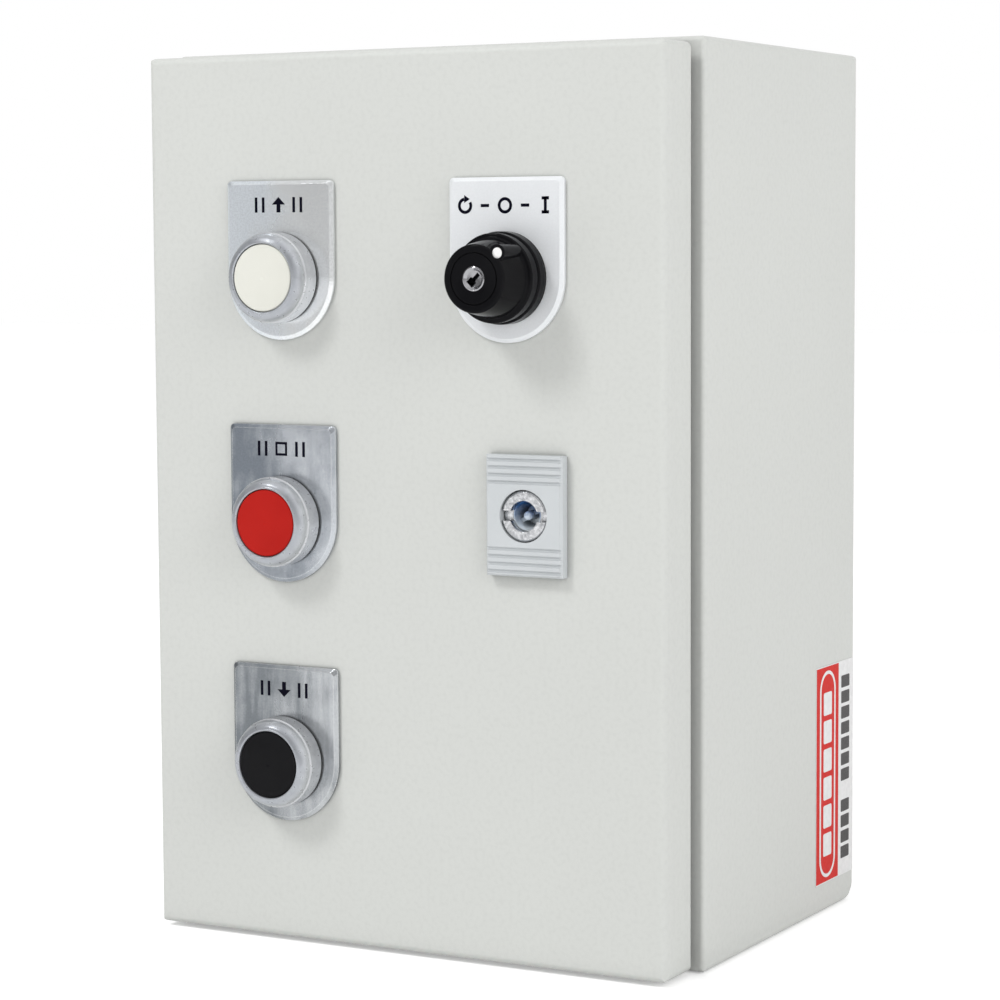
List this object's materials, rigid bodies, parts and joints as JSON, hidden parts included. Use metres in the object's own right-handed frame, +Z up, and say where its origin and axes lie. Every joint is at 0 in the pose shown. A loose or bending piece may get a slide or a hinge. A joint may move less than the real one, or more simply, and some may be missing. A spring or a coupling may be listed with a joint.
{
  "type": "automatic coop door control box",
  "caption": "Wall-mounted steel control box for a motorised coop door: push buttons, key selector and quarter-turn lock on a hinged door, with rail-mounted switchgear inside.",
  "frame": {"origin": "centre of the four wall-fixing holes, on the outer face of the back", "axes": "+Z up, +Y into the wall, +X to the right as seen from the front; the door faces -Y"},
  "size_m": [0.2002, 0.1731, 0.3],
  "materials": {
    "cabinet_paint": "fine textured powder coat",
    "zinc_plate": "zinc plated",
    "steel_fastener": "zinc plated",
    "black_rubber": "matte",
    "seal_foam": "foamed polyurethane",
    "light_plastic": "fine eroded",
    "ivory_plastic": "fine eroded",
    "dark_plastic": "satin",
    "grey_plastic": "matte",
    "terminal_plastic": "matte",
    "earth_plastic": "green and yellow",
    "blue_plastic": "matte",
    "brass_screw": "bright",
    "wire_insulation": "extruded",
    "loom_sleeve": "corrugated",
    "sticker_film": "printed film",
    "legend_aluminium": "satin",
    "bezel_silver": "satin plated",
    "white_cap": "satin",
    "red_cap": "satin",
    "black_cap": "satin",
    "selector_plastic": "satin",
    "key_chrome": "polished",
    "spring_steel": "bright drawn",
    "lock_plastic": "satin",
    "lock_zinc": "blue zinc plated"
  },
  "bodies": {
    "cabinet": {"body_shell": "cabinet_paint", "mounting_plate": "zinc_plate", "plate_nuts": "steel_fastener", "gland_plate": "cabinet_paint", "gland_plate_seal": "seal_foam", "gland_plate_screws": "steel_fastener", "entry_grommets": "black_rubber", "hinge_pins": "steel_fastener", "din_rails": "zinc_plate", "rail_screws": "steel_fastener", "breaker_case": "light_plastic", "power_supply": "dark_plastic", "door_timer_case": "light_plastic", "open_contactor_case": "ivory_plastic", "close_contactor_case": "ivory_plastic", "contactor_interlock": "dark_plastic", "terminal_blocks": "terminal_plastic", "earth_terminals": "earth_plastic", "rail_end_stops": "grey_plastic", "wiring_duct": "grey_plastic", "duct_cover": "grey_plastic", "terminal_screws": "brass_screw", "internal_wires": "wire_insulation", "door_loom": "loom_sleeve", "side_sticker": "sticker_film"},
    "breaker_lever": {"breaker_toggle": "dark_plastic"},
    "timer_disc": {"timer_dial": "light_plastic"},
    "open_contactor_bar": {"open_contactor_carrier": "blue_plastic"},
    "close_contactor_bar": {"close_contactor_carrier": "blue_plastic"},
    "door": {"door_shell": "cabinet_paint", "door_gasket": "seal_foam", "open_legend_plate": "legend_aluminium", "stop_legend_plate": "legend_aluminium", "close_legend_plate": "legend_aluminium", "selector_legend_plate": "legend_aluminium", "pushbutton_bezels": "bezel_silver", "selector_bezel": "selector_plastic", "bezel_seals": "black_rubber", "panel_nuts": "steel_fastener", "pushbutton_contact_blocks": "light_plastic", "selector_contact_block": "light_plastic", "lock_plate": "lock_plastic", "lock_housing": "lock_zinc", "lock_nut": "steel_fastener", "open_spring": "spring_steel", "stop_spring": "spring_steel", "close_spring": "spring_steel"},
    "open_button": {"open_cap": "white_cap", "open_plunger": "dark_plastic"},
    "stop_button": {"stop_cap": "red_cap", "stop_plunger": "dark_plastic"},
    "close_button": {"close_cap": "black_cap", "close_plunger": "dark_plastic"},
    "selector": {"selector_knob": "selector_plastic", "key_barrel": "key_chrome", "selector_rotor": "dark_plastic"},
    "lock": {"lock_barrel": "lock_zinc", "lock_cam": "zinc_plate", "cam_screw": "steel_fastener"}
  },
  "joints": [
    {"name": "door_swing", "type": "hinge", "parent": "cabinet", "child": "door", "pos_m": [-0.0923, -0.1379, 0], "axis": [0, 0, -1], "range_deg": [0, 120], "deforming": ["door_loom"]},
    {"name": "open_push", "type": "slide", "parent": "door", "child": "open_button", "axis": [0, 1, 0], "range_m": [0, 0.003], "stiffness_N_per_m": 800, "springref_m": -0.002, "deforming": ["open_spring"]},
    {"name": "stop_push", "type": "slide", "parent": "door", "child": "stop_button", "axis": [0, 1, 0], "range_m": [0, 0.003], "stiffness_N_per_m": 800, "springref_m": -0.002, "deforming": ["stop_spring"]},
    {"name": "close_push", "type": "slide", "parent": "door", "child": "close_button", "axis": [0, 1, 0], "range_m": [0, 0.003], "stiffness_N_per_m": 800, "springref_m": -0.002, "deforming": ["close_spring"]},
    {"name": "selector_turn", "type": "hinge", "parent": "door", "child": "selector", "pos_m": [0.0414, -0.15, 0.0742], "axis": [0, 1, 0], "range_deg": [-90, 0]},
    {"name": "lock_turn", "type": "hinge", "parent": "door", "child": "lock", "pos_m": [0.0485, -0.15, -0.0016], "axis": [0, -1, 0], "range_deg": [0, 90]},
    {"name": "breaker_switch", "type": "hinge", "parent": "cabinet", "child": "breaker_lever", "pos_m": [-0.048, -0.0735, 0.074], "axis": [1, 0, 0], "range_deg": [0, 50]},
    {"name": "timer_turn", "type": "hinge", "parent": "cabinet", "child": "timer_disc", "pos_m": [0.04, -0.0775, 0.074], "axis": [0, 1, 0], "continuous": true},
    {"name": "open_contactor_pull", "type": "slide", "parent": "cabinet", "child": "open_contactor_bar", "axis": [0, 1, 0], "range_m": [0, 0.0025], "stiffness_N_per_m": 400, "springref_m": -0.002},
    {"name": "close_contactor_pull", "type": "slide", "parent": "cabinet", "child": "close_contactor_bar", "axis": [0, 1, 0], "range_m": [0, 0.0025], "stiffness_N_per_m": 400, "springref_m": -0.002}
  ]
}
